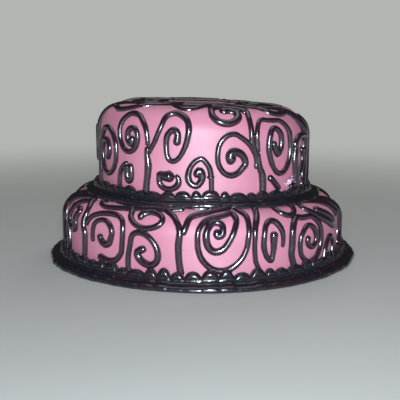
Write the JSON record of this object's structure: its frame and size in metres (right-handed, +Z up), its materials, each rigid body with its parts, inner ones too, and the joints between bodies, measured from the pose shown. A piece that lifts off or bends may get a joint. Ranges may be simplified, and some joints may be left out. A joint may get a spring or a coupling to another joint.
{
  "type": "two-tier party cake",
  "caption": "Round two-tier cake under pink fondant, with black piped scrolls all over and a black shell border at the foot of each tier.",
  "frame": {"origin": "centre of the cake's foot, on the surface it stands on", "axes": "+Z up, -Y towards the front that the picture shows, +X to that front's right"},
  "size_m": [0.2318, 0.2319, 0.1182],
  "materials": {
    "fondant": "soft satin sugar paste; the black piped scrolls on it are glossy icing",
    "icing": "glossy black piped icing"
  },
  "bodies": {
    "root": {"lower_tier": "fondant", "upper_tier": "fondant", "lower_border": "icing", "upper_border": "icing"}
  },
  "joints": []
}
